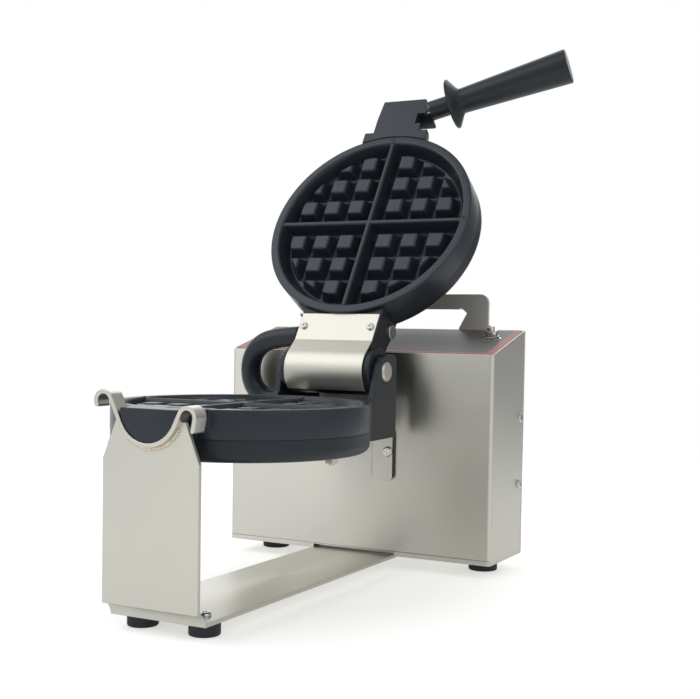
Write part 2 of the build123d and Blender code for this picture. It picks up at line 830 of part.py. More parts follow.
def cover_bolts(upper):
    """Four hex bolts through a heater cover into the grid's posts."""
    at = pan_frame(upper)
    face = at(rim_gap + grid_h + cover_h)
    out = []
    turn = Rot(0, 0, 0) if upper else Rot(180, 0, 0)
    for x, y in bolt_places():
        tip = Cone(3.0, 2.2, 1.6, align=(Align.CENTER, Align.CENTER, Align.MIN))
        head = extrude(RegularPolygon(5.6, 6), amount=5.0) + Pos(0, 0, 5) * tip
        shank = Cylinder(3.0, 14.0, align=(Align.CENTER, Align.CENTER, Align.MAX))
        out.append(Pos(x, y, face) * turn * (head + shank))
    return join(*out)


def hinge_pin():
    end = ear_in + ear_t
    body = rod_x(pin_r, -end - 0.5, end + 0.5, pin_y, pin_z)
    for side in (-1, 1):
        head = Cylinder(8.9, 2.6, align=(Align.CENTER, Align.CENTER, Align.MIN))
        head = fillet(head.edges().group_by(Axis.Z)[-1], 2.4)
        body += Pos(side * (end + seat_gap), pin_y, pin_z) * Rot(0, 90 * side, 0) * head
    return body


# Lid, built closed and swung open by lid_open

def hinge_arm():
    """The casting from the lid's back shell to the barrel on the pin."""
    seam = axis_z + rim_gap + grid_h
    low = pin_z - arm_front
    high = pin_z + arm_back
    top = seam + cover_h - 3
    outline = [
        (pan_y + 70, low), (pin_y - 12, low), (pin_y - 6, pin_z), (pin_y, high), (pin_y - 30, high),
        (pin_y - 48, top), (pan_y + 70, top),
    ]
    arm = prism_x(outline, -arm_half, arm_half)
    arm -= round_slab(pan_r + 0.1, axis_z - 40, seam + seat_gap)
    arm -= round_slab(pan_r - 3, seam, axis_z + 80)
    barrel = rod_x(barrel_r, -barrel_half, barrel_half, pin_y, pin_z)
    barrel = chamfer(barrel.edges().filter_by(GeomType.CIRCLE), 0.8)
    arm += barrel
    return arm - rod_x(pin_r + run_gap, -80, 80, pin_y, pin_z)


def upper_cover():
    body = pan_cover(True) + hinge_arm()
    for x in (-sheet_screw_x, sheet_screw_x):
        body -= rod_z(2.0 + hole_gap, pin_z - 40, pin_z - arm_front + 9, x, pin_y - sheet_screw_e)
    body -= rod_x(3.0 + hole_gap, arm_half - 12, arm_half + 9, pin_y - bumper_e, pin_z + bumper_back)
    body -= rod_x(6.0 + hole_gap, -arm_half - 9, -arm_half + 12, pin_y - gland_e, pin_z + gland_back)
    return lid_open(body)


sheet_screw_x = 33.3
sheet_screw_e = 34.8
sheet_flat_end = 48.2
sheet_bend = 20.8
bumper_e = 44.5
bumper_back = 6.5
gland_e = 36.0
gland_back = 3.0


def hinge_sheet():
    """The bent cover over the barrel: a flat with two screws, then a curve round the pin."""
    r = sheet_r - sheet_t / 2
    flat = arm_front + seat_gap + sheet_t / 2
    p = lambda e, h: (pin_y - e, pin_z - h)
    bend = p(sheet_bend, flat)
    dx = bend[0] - pin_y
    dz = bend[1] - pin_z
    dist = math.hypot(dx, dz)
    tangent = math.atan2(dz, dx) + math.acos(r / dist)
    end = tangent + math.radians(96)
    on = lambda t: Vector(0, pin_y + r * math.cos(t), pin_z + r * math.sin(t))
    with BuildLine() as line:
        Line(Vector(0, *p(sheet_flat_end, flat)), Vector(0, *bend))
        Line(Vector(0, *bend), on(tangent))
        ThreePointArc(on(tangent), on((tangent + end) / 2), on(end))
    wire = line.wires()[0]
    band = wire.offset_2d(sheet_t / 2)
    body = extrude(make_face(band), amount=sheet_half, both=True)
    body &= box(-sheet_half, sheet_half, pin_y - sheet_flat_end, 0, 0, 400)
    for x in (-sheet_screw_x, sheet_screw_x):
        body -= rod_z(2.0 + hole_gap, pin_z - 40, pin_z - 5, x, pin_y - sheet_screw_e)
    return lid_open(body)


def sheet_screws():
    face = pin_z - arm_front - seat_gap - sheet_t
    turn = Rot(180, 0, 0)
    out = [
        lid_open(Pos(x, pin_y - sheet_screw_e, face) * turn * screw(2.0, 8.0, 3.4, 2.0))
        for x in (-sheet_screw_x, sheet_screw_x)
    ]
    return join(*out)


def arm_bumper():
    """The large flat headed bolt on the arm's right side."""
    x = arm_half
    y = pin_y - bumper_e
    z = pin_z + bumper_back
    body = rod_x(6.8, x + seat_gap, x + 3.4, y, z)
    body = chamfer(body.edges().filter_by(GeomType.CIRCLE).group_by(Axis.X)[-1], 0.6)
    return lid_open(body + rod_x(3.0, x - 10, x + 1, y, z))


def gland_bracket():
    """The bent sheet on the arm's left side that the lid's cable gland passes through."""
    y = pin_y - gland_e
    z = pin_z + gland_back
    plate = box(-arm_half - 2, -arm_half - seat_gap, y - 18, y + 9, z - 12, z + 7.4)
    fold = box(-arm_half - 8, -arm_half - seat_gap, y - 18, y - 16, z - 12, z + 7.4)
    body = plate + fold
    body -= rod_x(6.0 + hole_gap, -80, 0, y, z)
    return lid_open(body)


def upper_grid():
    return lid_open(waffle_grid(True))


# Neck: the lid's half of the journal and the block that carries the grip

block_front = -334.0
block_root = -309.5         # where the journal ends and the block begins
block_half = (22.4, 24.2)   # half the block's width in front and at its root
stud_r = 3.0
stud_in = 8.0               # the stud's depth in the block
stud_out = 30.0             # and its reach into the grip
boss_high = 176.0
boss_end = -309.9
boss_outline = [
    (10.0, block_front), (20.9, block_front), (28.8, -320.4), (32.4, -312.4), (32.4, boss_end),
    (10.0, boss_end),
]
relief_outline = [
    (17.8, -316.8), (24.5, -316.3), (28.0, -319.2), (40.0, -316.0), (40.0, -304.0), (17.8, -304.0),
]
relief_high = 170.0


def prism_z(points, z0, z1):
    """A closed outline of (x, y) points, from z0 to z1."""
    wire = Polyline([Vector(x, y, z0) for x, y in points], close=True)
    return extrude(make_face(wire), amount=z1 - z0, dir=(0, 0, 1))


def neck():
    """The lid's half journal, the tapered block in front of it and the boss that the ferrule sits on."""
    body = collar_half(True)
    body -= round_slab(pan_r + 0.1, axis_z - 40, axis_z + 60)
    body += journal_half(True, block_root, collar_front + 1)
    nose = journal_half(True, block_front, block_root)
    front, root = block_half
    keep = [(-front, block_front), (front, block_front), (root, block_root), (-root, block_root)]
    body += nose & prism_z(keep, axis_z - 60, axis_z + 60)
    body += prism_z(boss_outline, axis_z + journal_gap, boss_high)
    body -= prism_z(relief_outline, axis_z - 5, relief_high)
    body -= handle_axis_rod(ferrule_r + 0.3, -seat_gap, 20)
    body -= handle_axis_rod(stud_r + hole_gap, -stud_in - 0.5, 2)
    return lid_open(body)


def handle_axis_rod(r, s0, s1):
    """A rod on the handle's axis from s0 to s1, in the closed lid's place."""
    return handle_place(Pos(0, 0, s0) * Cylinder(r, s1 - s0, align=(Align.CENTER, Align.CENTER, Align.MIN)))


def handle_place(shape):
    """Takes a shape built along +Z to the handle's axis on the closed lid."""
    x, e = handle_start
    lean = math.radians(handle_rise)
    direction = (math.cos(lean), -math.sin(lean), 0)
    plane = Plane(origin=(x, pin_y - e, pin_z - handle_depth), z_dir=direction)
    return plane * shape


def handle_stud():
    return lid_open(handle_axis_rod(stud_r, -stud_in, stud_out))


def ferrule():
    body = handle_axis_rod(ferrule_r, 0, ferrule_len)
    body -= handle_axis_rod(stud_r + hole_gap, -5, 40)
    return lid_open(body)


def grip():
    """The tapered grip and its round guard, one moulding turned about the handle's axis."""
    base = ferrule_len
    with BuildPart() as part:
        with BuildSketch(Plane.XZ):
            with BuildLine():
                Polyline(
                    (0, base), (ferrule_r, base), (13, base + 0.3), (guard_r - 1.2, base + 0.9),
                    (guard_r, base + 2.1), (guard_r - 0.6, base + 3.5), (14.6, base + 8.9),
                    (12.1, base + 10.9), (12.0, base + 14.5), (grip_r1, grip_len - 2),
                    (grip_r1 - 1.8, grip_len), (0, grip_len), close=True,
                )
            make_face()
        revolve(axis=Axis.Z)
    body = handle_place(part.part)
    return lid_open(body - handle_axis_rod(stud_r + hole_gap, 0, stud_out + 1))


# Lid conduit: from the hub's gland round the loop on the left to the gland on the lid's arm

hub_gland_end = -46.0
arm_gland_end = -52.0


def hub_gland():
    body = rod_x(8.4, -40, -drum_r + 0.6, hose_y, gland_z)
    for i in range(4):
        groove = rod_x(9.5, -39.2 + 2.6 * i, -38.0 + 2.6 * i, hose_y, gland_z)
        body -= groove - rod_x(7.7, -50, 0, hose_y, gland_z)
    body -= rod_y(drum_r + seat_gap, -40, 9, 0, axis_z)
    body += rod_x(5.9, -29, -21, hose_y, gland_z)
    body += rod_x(6.0, hub_gland_end, -40, hose_y, gland_z)
    return body


def arm_gland():
    y = pin_y - gland_e
    z = pin_z + gland_back
    body = rod_x(9.0, -arm_half - 8, -arm_half - 2.0 - seat_gap, y, z)
    body += rod_x(5.9, -arm_half - 3, -arm_half + 8, y, z)
    body += rod_x(6.0, arm_gland_end, -arm_half - 7, y, z)
    return lid_open(body)


conduit_route = [
    (-40.2, -10.0, 156.0), (-60.0, -10.0, 156.0), (-89.4, -9.1, 151.1), (-106.8, -12.2, 168.2),
    (-106.8, -16.6, 192.9), (-88.0, -19.8, 210.3), (-66.5, -19.6, 209.3), (-47.7, -19.6, 209.3),
]


def round_route(points):
    """Straight runs joined by tangent arcs, as edges, with the arcs' radii."""
    points = [Vector(*p) for p in points]
    edges = []
    radii = []
    here = points[0]
    for before, corner, after in zip(points[:-2], points[1:-1], points[2:]):
        back = (before - corner).normalized()
        ahead = (after - corner).normalized()
        half_turn = (math.pi - math.acos(max(-1.0, min(1.0, back.dot(ahead))))) / 2
        reach = 0.45 * min((before - corner).length, (after - corner).length)
        radii.append(reach / math.tan(half_turn))
        start = corner + back * reach
        end = corner + ahead * reach
        edges.append(Line(here, start))
        edges.append(TangentArc(start, end, tangent=-back))
        here = end
    edges.append(Line(here, points[-1]))
    return edges, radii


def conduit():
    edges, radii = round_route(conduit_route)
    wire = Wire(edges)
    section = Plane(origin=wire @ 0, z_dir=wire % 0) * Circle(hose_r)
    tube = sweep(section, path=wire)
    print("conduit length", round(wire.length, 1), "radii", [round(r, 1) for r in radii])
    full = math.pi * hose_r**2 * wire.length
    print("conduit volume over section times length", round(tube.volume / full, 4))
    tube -= rod_x(6.0 + run_gap, hub_gland_end - 0.2, -30, hose_y, gland_z)
    y = pin_y - gland_e
    z = pin_z + gland_back
    tube -= lid_open(rod_x(6.0 + run_gap, arm_gland_end - 0.2, -arm_half, y, z))
    return tube


# Electrical parts inside the housing

def control_board():
    board = box(-116, -44, 8, 9.6, 72, 150)
    for x in (-110, -50):
        for z in (78, 144):
            board += rod_y(3, sheet + seat_gap, 8, x, z)
    board += box(-108, -92, 9.6, 20, 96, 112)
    board += box(-80, -60, 9.6, 24, 110, 130)
    board += rod_y(5, 9.6, 22, -100, 132)
    return board


def relay():
    low = case_z + sheet + seat_gap
    can = box(70, 98, 36, 66, low, low + 20)
    return can + box(74, 94, 40, 62, low + 20, low + 22.5)


def terminal_block():
    low = case_z + sheet + seat_gap
    body = box(70, 118, 14, 32, low, low + 18)
    for i in range(4):
        body -= rod_z(2.6, low + 9, low + 30, 76 + 12 * i, 23)
    return body


def transformer():
    low = case_z + sheet + seat_gap
    frame = box(-102, -64, 24, 50, low, low + 34)
    frame -= box(-96, -88, 0, 99, low + 6, low + 28)
    frame -= box(-78, -70, 0, 99, low + 6, low + 28)
    winding = box(-95.8, -70.2, 17, 57, low + 6.2, low + 27.8)
    return frame + fillet(along(winding, Axis.Z), 4)


save(front_shell(), "front_shell")
save(base_tray(), "base_tray")
save(back_cover(), "back_cover")
save(side_screws(), "side_screws")
save(control_overlay(), "control_overlay")
save(carry_handle(), "carry_handle")
save(handle_screws(), "handle_screws")
save(mains_inlet(), "mains_inlet")
save(inlet_screws(), "inlet_screws")
save(switch_body(), "switch_body")
save(switch_plunger(), "switch_plunger")
save(rear_feet(), "rear_feet")
save(front_feet(), "front_feet")
save(rear_foot_screws(), "rear_foot_screws")
save(front_foot_screws(), "front_foot_screws")
save(cradle_arm(), "cradle_arm")
save(saddle_strip(), "saddle_strip")
save(saddle_weld(), "saddle_weld")
save(arm_clamp(), "arm_clamp")
save(arm_bolts(), "arm_bolts")
save(stop_plate(), "stop_plate")
save(stop_screws(), "stop_screw")
save(hub_bearing(), "hub_bearing")
save(bearing_screws(), "bearing_screws")
save(hub_shaft(), "hub_shaft")
save(hub_collar(), "hub_collar")
save(hub_drum(), "hub_drum")
save(drum_bolts(), "drum_bolts")
save(lower_grid(), "lower_grid")
save(lower_cover(), "lower_cover")
save(heater(False), "lower_heater")
save(cover_bolts(False), "lower_cover_bolts")
save(hinge_pin(), "hinge_pin")
save(upper_grid(), "upper_grid")
save(upper_cover(), "upper_cover")
save(lid_open(heater(True)), "upper_heater")
save(lid_open(cover_bolts(True)), "upper_cover_bolts")
save(hinge_sheet(), "hinge_sheet")
save(sheet_screws(), "sheet_screws")
save(arm_bumper(), "arm_bumper")
save(gland_bracket(), "gland_bracket")
save(neck(), "neck")
save(handle_stud(), "handle_stud")
save(ferrule(), "ferrule")
save(grip(), "grip")
save(hub_gland(), "hub_gland")
save(arm_gland(), "arm_gland")
save(conduit(), "conduit")
save(control_board(), "control_board")
save(relay(), "relay")
save(terminal_block(), "terminal_block")
save(transformer(), "transformer")
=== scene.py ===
# %% [markdown]
# # A rotating waffle maker
# Two round waffle plates open like a book and turn together on a steel housing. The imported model
# already has every part at its real size. This file gives the parts their finish, and replaces the
# ones whose shape the eye rests on with finer surfaces. All lengths are metres, +Z is up, and the
# person who bakes stands at -Y.

import math

import bmesh
import bpy
import numpy as np
from mathutils import Matrix, Vector


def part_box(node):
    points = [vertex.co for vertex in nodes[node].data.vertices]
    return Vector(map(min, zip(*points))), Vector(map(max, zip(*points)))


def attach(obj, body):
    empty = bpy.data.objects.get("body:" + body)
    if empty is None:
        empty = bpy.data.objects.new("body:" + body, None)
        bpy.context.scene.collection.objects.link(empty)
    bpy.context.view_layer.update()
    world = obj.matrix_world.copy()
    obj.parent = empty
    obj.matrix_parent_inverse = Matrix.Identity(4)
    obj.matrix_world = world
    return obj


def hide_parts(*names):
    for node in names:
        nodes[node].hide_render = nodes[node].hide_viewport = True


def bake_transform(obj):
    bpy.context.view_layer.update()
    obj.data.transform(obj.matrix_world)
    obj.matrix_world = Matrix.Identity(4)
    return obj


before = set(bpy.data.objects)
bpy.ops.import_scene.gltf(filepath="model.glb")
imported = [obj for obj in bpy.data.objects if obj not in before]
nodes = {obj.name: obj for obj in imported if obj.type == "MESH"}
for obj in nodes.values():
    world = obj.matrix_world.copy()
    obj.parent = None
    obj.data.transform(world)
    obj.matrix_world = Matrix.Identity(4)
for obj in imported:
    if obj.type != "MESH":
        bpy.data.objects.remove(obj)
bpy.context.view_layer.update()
MM = 0.001

# %% [markdown]
# ## The camera
# The machine is seen from the right of its front, a little above the plates. A photographer's
# camera is described by its place, by the three directions of its body and by its lens. The lens is
# written for Blender's 36 mm sensor, and the small shift says that the picture's centre is not where
# the camera points.

# %% Camera
PIXELS = 700
PICTURE_MIDDLE = (350.0, 349.5)
CENTRE_POINT = (362.91, 376.17)
FOCAL_PIXELS = 1189.5
SENSOR = 36.0
CAMERA_PLACE = (0.50379, -0.96332, 0.21651)
right = Vector((0.8885, 0.4586, 0.0165)).normalized()
forward = Vector((-0.4577, 0.8882, -0.0392)).normalized()
up = right.cross(forward).normalized()
right = forward.cross(up)
camera_data = bpy.data.cameras.new("camera")
camera_data.sensor_width = SENSOR
camera_data.lens = SENSOR * FOCAL_PIXELS / PIXELS
camera_data.shift_x = (PICTURE_MIDDLE[0] - CENTRE_POINT[0]) / PIXELS
camera_data.shift_y = (CENTRE_POINT[1] - PICTURE_MIDDLE[1]) / PIXELS
camera_data.clip_start, camera_data.clip_end = 0.05, 30.0
camera = bpy.data.objects.new("camera", camera_data)
body = Matrix((right, up, -forward)).transposed().to_4x4()
camera.matrix_world = Matrix.Translation(CAMERA_PLACE) @ body
bpy.context.scene.collection.objects.link(camera)
bpy.context.scene.camera = camera
bpy.context.scene.view_settings.view_transform = "Standard"
print("lens", round(camera_data.lens, 2), "mm")

# %% [markdown]
# ## Shader sums as Python
# A material in Blender is a small graph of nodes. Wiring Math nodes by hand hides the formula, so a
# tiny class wraps a socket and lets `1 - mask * 0.3` build the nodes. Everything else is made by
# one method that takes a node's type, its settings and its inputs.

# %% Node helpers
def add_node(tree, kind, settings=None, inputs=None, output=0):
    """Makes a node, sets its settings first and then its sockets, and returns one output."""
    node = tree.nodes.new(kind)
    for key, value in (settings or {}).items():
        setattr(node, key, value)
    pairs = inputs.items() if isinstance(inputs, dict) else enumerate(inputs or [])
    for key, value in pairs:
        if isinstance(value, Field):
            tree.links.new(value.socket, node.inputs[key])
        elif value is not None:
            node.inputs[key].default_value = value
    return Field(tree, node.outputs[output])


class Field:
    """A value that changes over a surface: an output socket that understands + - and *."""

    def __init__(self, tree, socket):
        self.tree, self.socket = tree, socket

    def sum(self, operation, *values, clamp=False):
        settings = {"operation": operation, "use_clamp": clamp}
        return add_node(self.tree, "ShaderNodeMath", settings, list(values))

    def __add__(self, other):
        return self.sum("ADD", self, other)

    __radd__ = __add__

    def __sub__(self, other):
        return self.sum("SUBTRACT", self, other)

    def __rsub__(self, other):
        return self.sum("SUBTRACT", other, self)

    def __mul__(self, other):
        return self.sum("MULTIPLY", self, other)

    __rmul__ = __mul__

    def size(self):
        return self.sum("ABSOLUTE", self)

    def over(self, edge, width):
        """0 below the edge and 1 above it, over a short ramp of the given width."""
        return self.sum("MULTIPLY_ADD", self, 1.0 / width, 0.5 - edge / width, clamp=True)


# Places of the sockets of a Mix node that blends colours
MIX_FACTOR, MIX_FIRST, MIX_SECOND, MIX_RESULT = 0, 6, 7, 2


class Finish:
    """A material being made, with its Principled surface and the piece's own coordinates."""

    def __init__(self, name, **plain):
        self.material = bpy.data.materials.new(name)
        self.material.use_nodes = True
        self.tree = self.material.node_tree
        self.surface = self.tree.nodes["Principled BSDF"]
        self.place = self.node("ShaderNodeTexCoord", output="Object")
        self.set(**plain)

    def node(self, kind, settings=None, inputs=None, output=0):
        return add_node(self.tree, kind, settings, inputs, output)

    def set(self, **values):
        """Sets the surface's sockets; a name's underscores stand for spaces."""
        for key, value in values.items():
            socket = self.surface.inputs[key.replace("_", " ")]
            if isinstance(value, Field):
                self.tree.links.new(value.socket, socket)
            elif socket.type == "RGBA" and len(value) == 3:
                socket.default_value = (*value, 1.0)
            else:
                socket.default_value = value
        return self

    def axes(self):
        """The piece's own x, y and z, as three fields."""
        split = self.tree.nodes.new("ShaderNodeSeparateXYZ")
        self.tree.links.new(self.place.socket, split.inputs[0])
        return [Field(self.tree, s) for s in split.outputs]

    def noise(self, scale, stretch=(1, 1, 1), detail=2.0, rough=0.5, turn=(0, 0, 0)):
        """Cloudy noise with about `scale` bumps a metre. A small stretch pulls it out along an axis."""
        turned_place = {"Vector": self.place, "Rotation": turn, "Scale": stretch}
        where = self.node("ShaderNodeMapping", None, turned_place)
        inputs = {"Vector": where, "Scale": scale, "Detail": detail, "Roughness": rough}
        return self.node("ShaderNodeTexNoise", None, inputs)

    def colours(self, factor, first, second):
        """The first colour where the factor is 0 and the second where it is 1."""
        node = self.tree.nodes.new("ShaderNodeMix")
        node.data_type = "RGBA"
        for place, value in ((MIX_FACTOR, factor), (MIX_FIRST, first), (MIX_SECOND, second)):
            socket = node.inputs[place]
            if isinstance(value, Field):
                self.tree.links.new(value.socket, socket)
            else:
                socket.default_value = value if isinstance(value, float) else (*value[:3], 1.0)
        return Field(self.tree, node.outputs[MIX_RESULT])

    def relief(self, height, depth, radius=0.0):
        """Bumps of the given depth, on edges softened by radius where the piece has sharp ones."""
        edge = self.node("ShaderNodeBevel", {"samples": 4}, {"Radius": radius}) if radius else None
        sockets = {"Strength": 1.0, "Distance": depth, "Height": height, "Normal": edge}
        return self.set(Normal=self.node("ShaderNodeBump", None, sockets))


# %% [markdown]
# ## Satin stainless steel
# The housing, cradle and handle plate are stainless sheet with a fine satin finish. Three things
# make it read as steel: a full metallic surface of middle roughness that blurs what it mirrors,
# very fine grinding lines along the sheet, and faint warm and cool clouds from handling and heat.
# The handle plate and the hinge cover look milkier, so they are set less metallic.

# %% Steel
def satin_steel(
    name, grain=(1, 1, 1), tint=(0.70, 0.69, 0.655), shine=0.27, edge=0.0006, cloud=0.05,
    bite=0.00005, brush=0.75, metal=1.0, painted_shade_edges=None, heat=None,
):
    """Ground sheet. Its lines run level, so reflections stretch upwards: that is brush. shine is the
    roughness, which the clouds change by cloud, and bite is the depth of the grinding lines.
    Past the pair of X values given for the painted shade, the sheet's side faces are painted nearly
    black as painted shade, and heat is a list of (place, radius) spots that the welding left brown."""
    finish = Finish(name, Metallic=metal, Anisotropic=brush, Anisotropic_Rotation=0.25)
    clouds = finish.noise(9.0, detail=3.0)
    speckle = finish.noise(900.0, detail=1.0)
    lines = finish.noise(1400.0, stretch=grain, detail=2.0, rough=0.6)
    warm = [c * k for c, k in zip(tint, (1.08, 1.04, 0.94))]
    cool = [c * k for c, k in zip(tint, (0.90, 0.93, 0.96))]
    colour = finish.colours(clouds, cool, warm)
    for spot, radius in heat or []:
        away = finish.node("ShaderNodeVectorMath", {"operation": "DISTANCE"}, [finish.place, spot], 1)
        burnt = (1.0 - away.over(radius * 0.55, radius * 0.9)) * (0.5 + clouds)
        colour = finish.colours(burnt, colour, [c * k for c, k in zip(tint, (0.55, 0.40, 0.26))])
    # Painted shade: past these X values the side faces are painted nearly black.
    if painted_shade_edges:
        x = finish.axes()[0]
        cut = x.over(painted_shade_edges[1], 0.0001) + (1.0 - x.over(painted_shade_edges[0], 0.0001))
        colour = finish.colours(cut, colour, (0.035, 0.033, 0.03))
    finish.set(Base_Color=colour)
    finish.set(Roughness=shine - cloud / 2 + clouds * cloud + speckle * 0.10 + lines * 0.05)
    finish.relief(lines * 0.6 + speckle * 0.4, bite, edge)
    return finish.material


stop_low, stop_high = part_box("stop_plate")
PAINTED_SHADE_LEFT, PAINTED_SHADE_RIGHT = 0.0003, 0.0004
steel_along_x = satin_steel("steel_ground_along_x", grain=(0.03, 1, 1))
steel_strip = satin_steel("steel_saddle_strip", grain=(1, 1, 0.03), shine=0.24, edge=0.0011, brush=0.0)
# The stop strip's two side faces are painted nearly black, as painted shade.
steel_stop = satin_steel(
    "steel_stop_strip", grain=(1, 1, 0.03),
    painted_shade_edges=(stop_low[0] + PAINTED_SHADE_LEFT, stop_high[0] - PAINTED_SHADE_RIGHT),
)
steel_handle = satin_steel(
    "steel_carry_handle", grain=(0.03, 1, 1), shine=0.36, tint=(0.78, 0.77, 0.73), metal=0.5
)
WELD_HEAT = [((0.031, -0.305, 0.158), 0.007), ((-0.031, -0.305, 0.160), 0.005)]
steel_arm = satin_steel(
    "steel_cradle", grain=(0.05, 1, 1), tint=(0.66, 0.655, 0.62), shine=0.26, cloud=0.10, edge=0.0008,
    brush=0.5, heat=WELD_HEAT,
)
bright_sheet = satin_steel(
    "steel_bright_sheet", grain=(0.4, 1, 1), tint=(0.72, 0.71, 0.66), shine=0.33, cloud=0.08,
    bite=0.00008, brush=0.0, metal=0.88,
)
turned_steel = satin_steel(
    "turned_steel", grain=(1, 0.05, 1), tint=(0.62, 0.62, 0.61), shine=0.24, edge=0.0003, brush=0.0
)

# %% [markdown]
# ## Plated screws and nickel bolts
# Small fasteners are bright. Zinc and nickel plating mirror more sharply than ground sheet, and
# their tiny scratches run in every direction, so the noise is not pulled out along an axis.

# %% Plated metal
def plated(name, tint, shine, edge=0.0002):
    finish = Finish(name, Metallic=1.0)
    scratches = finish.noise(2500.0, detail=3.0)
    finish.set(Base_Color=finish.colours(scratches, [c * 0.93 for c in tint], tint))
    finish.set(Roughness=shine + scratches * 0.08)
    finish.relief(scratches, 0.00001, edge)
    return finish.material


screw_plate = plated("plated_screw", (0.62, 0.62, 0.61), 0.08)
nickel = plated("nickel_plate", (0.60, 0.575, 0.52), 0.26)
zinc = plated("zinc_plate", (0.42, 0.42, 0.41), 0.34)
heater_steel = plated("heater_sheath", (0.25, 0.23, 0.22), 0.45)

# %% [markdown]
# ## Non-stick castings
# The plates are cast aluminium under a baked non-stick coat. The coat is nearly black with a little
# blue, satin rather than matt, and it keeps a trace of the sand mould as a fine pebble. The heater
# covers are the same metal with a slightly coarser skin.

# %% Dark castings
BLUE_GLOSS = (0.84, 0.93, 1.0, 1.0)


def casting(name, tint, shine, pebble, edge=0.0007):
    finish = Finish(name, Specular_IOR_Level=0.5, Specular_Tint=BLUE_GLOSS)
    skin = finish.noise(pebble, detail=2.0, rough=0.6)
    patch = finish.noise(30.0, detail=3.0)
    finish.set(Base_Color=finish.colours(patch, [c * 0.85 for c in tint], [c * 1.15 for c in tint]))
    finish.set(Roughness=shine - 0.04 + patch * 0.08 + skin * 0.05)
    finish.relief(skin, 0.00006, edge)
    return finish.material


coated_plate = casting("non_stick_coat", (0.021, 0.0265, 0.035), 0.26, 1500.0)
cast_cover = casting("cast_cover", (0.013, 0.016, 0.021), 0.38, 900.0, 0.0016)

# %% [markdown]
# ## Plastics and rubber
# The grip is a hard moulding with a fine grain, the hose is smooth and a little glossy, and the
# feet are dull rubber that picks up dust. The drum is set near white, and it and the circuit board
# follow the same recipe with other colours.

# %% Plastics and rubber
def moulding(name, tint, shine, grain, depth=0.00003, edge=0.0004):
    finish = Finish(name, Specular_Tint=BLUE_GLOSS)
    skin = finish.noise(grain, detail=2.0)
    dust = finish.noise(60.0, detail=4.0, rough=0.7)
    finish.set(Base_Color=finish.colours(dust, tint, [c * 1.3 + 0.004 for c in tint]))
    finish.set(Roughness=shine + skin * 0.08 - 0.04)
    finish.relief(skin, depth, edge)
    return finish.material


grip_plastic = moulding("grip_plastic", (0.0105, 0.0135, 0.017), 0.36, 1800.0)
hose_rubber = moulding("hose_rubber", (0.011, 0.0145, 0.019), 0.33, 700.0, 0.00002)
foot_rubber = moulding("foot_rubber", (0.022, 0.022, 0.023), 0.62, 1200.0, 0.00006)
grey_plastic = moulding("grey_plastic", (0.22, 0.22, 0.23), 0.5, 1500.0)
pale_drum = moulding("pale_drum", (0.84, 0.84, 0.82), 0.35, 1500.0)
circuit_green = moulding("circuit_board", (0.02, 0.12, 0.05), 0.35, 900.0)

# %% [markdown]
# ## The film on the sloping panel
# The top panel carries a grey printed film with a dull red frame round its edge. The frame is a
# question of distance: a point is red where it is within 3.3 mm of the film's front or back edge,
# measured level, or within 7 mm of its ends. Two ramps on the object's own X and Y answer that.

# %% Printed film
FILM_HALF_X, FILM_HALF_Y, FILM_MIDDLE_Y = 0.1324, 0.0382, 0.03975
END_BAND, LONG_BAND, PRINT_EDGE = 0.0070, 0.0033, 0.0003


def printed_film():
    """Grey print, red where |x| or |y - middle| comes within a band's width of the film's edge."""
    finish = Finish("printed_film", Roughness=0.42)
    x, y, _ = finish.axes()
    ends = x.size().over(FILM_HALF_X - END_BAND, PRINT_EDGE)
    sides = (y - FILM_MIDDLE_Y).size().over(FILM_HALF_Y - LONG_BAND, PRINT_EDGE)
    red = x.sum("MAXIMUM", ends, sides)
    grain = finish.noise(1600.0, detail=2.0)
    grey = finish.colours(grain, (0.105, 0.105, 0.108), (0.135, 0.135, 0.138))
    finish.set(Base_Color=finish.colours(red, grey, (0.42, 0.135, 0.12)))
    finish.relief(grain, 0.00004)
    return finish.material


film = printed_film()

# %% [markdown]
# ## Welding heat
# The strip is welded into the cradle's notch. Heat leaves straw and brown colours beside the bead,
# and the bead itself is a row of small ripples.

# %% Weld metal
def weld_metal():
    finish = Finish("weld_metal", Metallic=1.0)
    ripples = finish.noise(700.0, detail=3.0, rough=0.6)
    straw = finish.noise(220.0, detail=2.0)
    finish.set(Base_Color=finish.colours(straw, (0.80, 0.78, 0.70), (0.66, 0.55, 0.38)))
    finish.set(Roughness=0.14 + ripples * 0.25)
    finish.relief(ripples, 0.0003, 0.0004)
    return finish.material


weld = weld_metal()

# %% [markdown]
# ## A finish for every part of the model
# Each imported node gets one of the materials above. The last line prints the nodes that were
# forgotten, which should be none.

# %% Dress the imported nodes
finishes = {
    steel_along_x: ["front_shell", "base_tray", "back_cover", "arm_clamp"],
    steel_handle: ["carry_handle"],
    steel_stop: ["stop_plate"],
    steel_arm: ["cradle_arm"],
    steel_strip: ["saddle_strip"],
    bright_sheet: ["hinge_sheet"],
    turned_steel: ["hub_bearing", "hub_shaft", "hub_collar", "handle_stud"],
    pale_drum: ["hub_drum"],
    screw_plate: [
        "side_screws", "handle_screws", "inlet_screws", "switch_body", "switch_plunger",
        "rear_foot_screws", "front_foot_screws", "arm_bolts", "stop_screw", "bearing_screws",
        "drum_bolts", "sheet_screws",
    ],
    nickel: ["lower_cover_bolts", "upper_cover_bolts", "hinge_pin"],
    zinc: ["gland_bracket", "arm_bumper"],
    heater_steel: ["lower_heater", "upper_heater", "transformer"],
    coated_plate: ["lower_grid", "upper_grid", "neck"],
    cast_cover: ["lower_cover", "upper_cover"],
    grip_plastic: ["grip", "ferrule", "hub_gland", "arm_gland", "mains_inlet"],
    hose_rubber: ["conduit"],
    foot_rubber: ["rear_feet", "front_feet"],
    grey_plastic: ["relay", "terminal_block"],
    circuit_green: ["control_board"],
    film: ["control_overlay"],
    weld: ["saddle_weld"],
}
dressed = set()
for material, names in finishes.items():
    for name in names:
        nodes[name].data.materials.clear()
        nodes[name].data.materials.append(material)
        dressed.add(name)
print("nodes with no finish:", sorted(set(nodes) - dressed))

